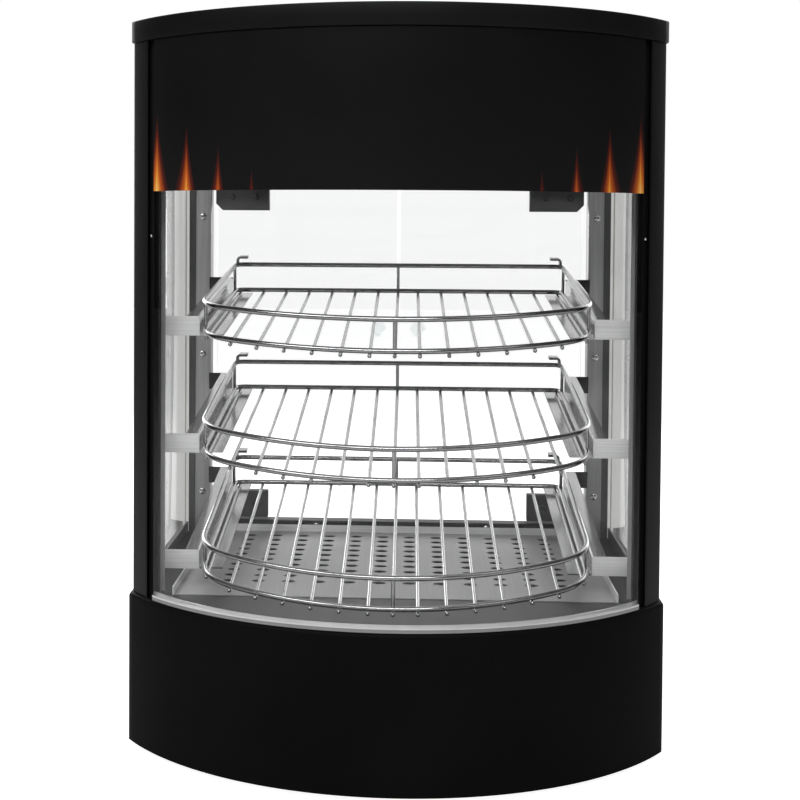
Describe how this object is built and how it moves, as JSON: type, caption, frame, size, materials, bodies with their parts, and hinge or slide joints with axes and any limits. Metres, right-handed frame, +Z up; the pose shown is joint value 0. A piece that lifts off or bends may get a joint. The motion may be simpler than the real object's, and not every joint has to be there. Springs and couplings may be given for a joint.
{
  "type": "hot food display case",
  "caption": "Counter-top heated display case with a bowed glass front, black header and base, tilted lift-out wire baskets and a pair of hinged glass rear doors.",
  "frame": {"origin": "centre of the footprint, on the plane the rubber feet rest on", "axes": "+Z up, the bowed window faces -Y, +X to the right as seen from the front"},
  "size_m": [0.4, 0.382, 0.546],
  "materials": {
    "black_enamel": "satin black powder coat",
    "dark_steel": "dark grey satin",
    "stainless": "brushed",
    "chrome_wire": "bright chrome plated wire",
    "polished_trim": "polished",
    "clear_glass": "clear toughened glass",
    "clear_knob": "clear acrylic",
    "rubber": "matt",
    "bush_nylon": "moulded nylon",
    "black_plastic": "satin moulded",
    "ceramic": "glazed ceramic",
    "amber_lens": "translucent moulded"
  },
  "bodies": {
    "root": {"base_shell": "black_enamel", "bottom_plate": "dark_steel", "foot_front_left": "rubber", "foot_front_right": "rubber", "foot_rear_left": "rubber", "foot_rear_right": "rubber", "front_deck": "dark_steel", "floor_plate": "stainless", "heating_element": "dark_steel", "heat_shield": "stainless", "element_clip_front": "stainless", "element_clip_rear": "stainless", "glass_channel": "polished_trim", "front_glass": "clear_glass", "header_panel": "black_enamel", "lid": "black_enamel", "ceiling_panel": "stainless", "lamp_holder": "ceramic", "lamp_bulb": "clear_glass", "rear_sill": "dark_steel", "rear_top_rail": "black_enamel", "front_post_left": "black_enamel", "side_glass_left": "clear_glass", "rear_post_left": "black_enamel", "rear_upright_left": "stainless", "pivot_bush_left_lower": "bush_nylon", "pivot_bush_left_upper": "bush_nylon", "front_post_right": "black_enamel", "side_glass_right": "clear_glass", "rear_post_right": "black_enamel", "rear_upright_right": "stainless", "pivot_bush_right_lower": "bush_nylon", "pivot_bush_right_upper": "bush_nylon", "shelf_support_lower_left": "stainless", "shelf_support_lower_right": "stainless", "shelf_support_middle_left": "stainless", "shelf_support_middle_right": "stainless", "shelf_support_upper_left": "stainless", "shelf_support_upper_right": "stainless", "control_panel": "black_enamel", "thermostat_body": "black_plastic", "pilot_lamp": "amber_lens", "cord_gland": "rubber"},
    "door_left": {"door_glass_left": "clear_glass", "door_clamp_left_lower": "dark_steel", "door_clamp_left_upper": "dark_steel", "door_knob_left": "clear_knob"},
    "door_right": {"door_glass_right": "clear_glass", "door_clamp_right_lower": "dark_steel", "door_clamp_right_upper": "dark_steel", "door_knob_right": "clear_knob"},
    "basket_lower": {"basket_lower_grate": "chrome_wire", "basket_lower_guard": "chrome_wire"},
    "basket_middle": {"basket_middle_grate": "chrome_wire", "basket_middle_guard": "chrome_wire"},
    "basket_upper": {"basket_upper_grate": "chrome_wire", "basket_upper_guard": "chrome_wire"},
    "thermostat_dial": {"thermostat_knob": "black_plastic"},
    "power_switch": {"power_rocker": "black_plastic"},
    "light_switch": {"light_rocker": "black_plastic"}
  },
  "joints": [
    {"name": "door_left_swing", "type": "hinge", "parent": "root", "child": "door_left", "pos_m": [-0.158, 0.169, 0.28], "axis": [0, 0, 1], "range_deg": [0, 110]},
    {"name": "door_right_swing", "type": "hinge", "parent": "root", "child": "door_right", "pos_m": [0.158, 0.169, 0.28], "axis": [0, 0, -1], "range_deg": [0, 110]},
    {"name": "basket_lower_lift", "type": "slide", "parent": "root", "child": "basket_lower", "axis": [0, 0, 1], "range_m": [0, 0.02]},
    {"name": "basket_middle_lift", "type": "slide", "parent": "root", "child": "basket_middle", "axis": [0, 0, 1], "range_m": [0, 0.02]},
    {"name": "basket_upper_lift", "type": "slide", "parent": "root", "child": "basket_upper", "axis": [0, 0, 1], "range_m": [0, 0.02]},
    {"name": "thermostat_turn", "type": "hinge", "parent": "root", "child": "thermostat_dial", "pos_m": [0.07, 0.184, 0.062], "axis": [0, -1, 0], "range_deg": [0, 270]},
    {"name": "power_switch_rock", "type": "hinge", "parent": "root", "child": "power_switch", "pos_m": [0, 0.1785, 0.062], "axis": [1, 0, 0], "range_deg": [0, 16]},
    {"name": "light_switch_rock", "type": "hinge", "parent": "root", "child": "light_switch", "pos_m": [-0.042, 0.1785, 0.062], "axis": [1, 0, 0], "range_deg": [0, 16]}
  ]
}
